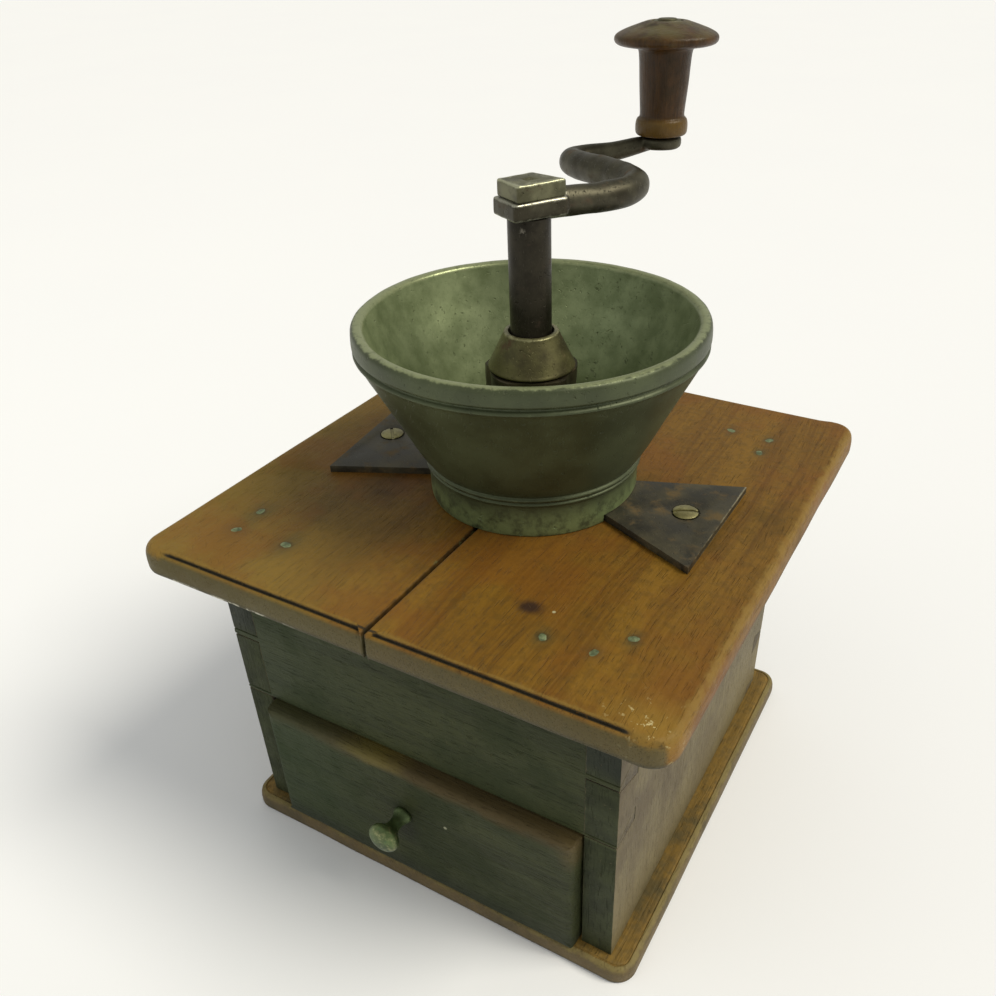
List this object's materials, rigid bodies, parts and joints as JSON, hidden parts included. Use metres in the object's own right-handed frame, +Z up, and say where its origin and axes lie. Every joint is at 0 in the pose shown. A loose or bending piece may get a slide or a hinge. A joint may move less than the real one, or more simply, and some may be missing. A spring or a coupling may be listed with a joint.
{
  "type": "hand crank coffee grinder",
  "caption": "Wooden box coffee mill with an open flared hopper, a conical burr under it, an S-shaped iron crank with a turned wooden handle and a drawer for the grounds.",
  "frame": {"origin": "centre of the base board's underside, where it rests on the table", "axes": "+Z up along the mill's spindle; the drawer faces and opens along -Y; +X to the right of someone facing the drawer"},
  "size_m": [0.1781, 0.1949, 0.2564],
  "materials": {
    "top_wood": "old oiled and worn",
    "case_wood": "worn dark green stain, bare brown on the sides",
    "drawer_wood": "worn dark green stain",
    "base_wood": "worn, rubbed edges",
    "bare_wood": "bare and raw",
    "handle_wood": "turned and polished by use",
    "cast_bowl": "tinned cast metal, dull, bright at the rim",
    "forged_iron": "forged, dark brown, rubbed bright on the edges",
    "burr_iron": "dark cast burr",
    "brass": "tarnished",
    "nail_iron": "greenish oxidised heads"
  },
  "bodies": {
    "case": {"base_board": "base_wood", "side_board_left": "case_wood", "side_board_right": "case_wood", "front_rail": "case_wood", "back_board": "case_wood", "top_plank_left": "top_wood", "top_plank_right": "top_wood", "top_nail_1": "nail_iron", "top_nail_2": "nail_iron", "top_nail_3": "nail_iron", "top_nail_4": "nail_iron", "top_nail_5": "nail_iron", "top_nail_6": "nail_iron", "top_nail_7": "nail_iron", "top_nail_8": "nail_iron", "top_nail_9": "nail_iron", "top_nail_10": "nail_iron", "top_nail_11": "nail_iron", "top_nail_12": "nail_iron", "hopper_bowl": "cast_bowl", "mounting_plate": "forged_iron", "plate_screw_left": "brass", "plate_screw_right": "brass", "burr_shell": "burr_iron", "bridge": "forged_iron", "frame_bolt_front": "forged_iron", "frame_bolt_back": "forged_iron", "frame_nut_front": "forged_iron", "frame_nut_back": "forged_iron", "lock_nut": "forged_iron"},
    "drawer": {"drawer_front": "drawer_wood", "drawer_side_left": "bare_wood", "drawer_side_right": "bare_wood", "drawer_back": "bare_wood", "drawer_bottom": "bare_wood", "drawer_knob": "brass", "drawer_knob_washer": "nail_iron"},
    "footstep": {"footstep_cup": "forged_iron"},
    "adjusting_screw": {"adjusting_screw": "forged_iron"},
    "crank": {"spindle": "forged_iron", "grinding_cone": "burr_iron", "cone_cap": "forged_iron", "cone_pin": "forged_iron", "crank_arm": "forged_iron", "crank_nut": "forged_iron", "handle_pin": "forged_iron", "pin_washer": "forged_iron"},
    "handle": {"handle": "handle_wood"}
  },
  "joints": [
    {"name": "drawer_slide", "type": "slide", "parent": "case", "child": "drawer", "axis": [0, -1, 0], "range_m": [0, 0.11]},
    {"name": "spindle_lift", "type": "slide", "parent": "case", "child": "footstep", "axis": [0, 0, 1], "range_m": [-0.00124, 0.00062]},
    {"name": "adjuster_turn", "type": "hinge", "parent": "footstep", "child": "adjusting_screw", "pos_m": [0.0032, -0.0001, 0.07], "axis": [0, 0, 1], "range_deg": [-360, 180]},
    {"name": "crank_turn", "type": "hinge", "parent": "footstep", "child": "crank", "pos_m": [0.0032, -0.0001, 0.214], "axis": [0, 0, 1], "continuous": true},
    {"name": "handle_spin", "type": "hinge", "parent": "crank", "child": "handle", "pos_m": [0.00777, 0.08428, 0.235], "axis": [0, 0, 1], "continuous": true}
  ],
  "couplings": [
    {"joint": "adjuster_turn", "follows": "spindle_lift", "rad_per_m": 5026.5}
  ]
}
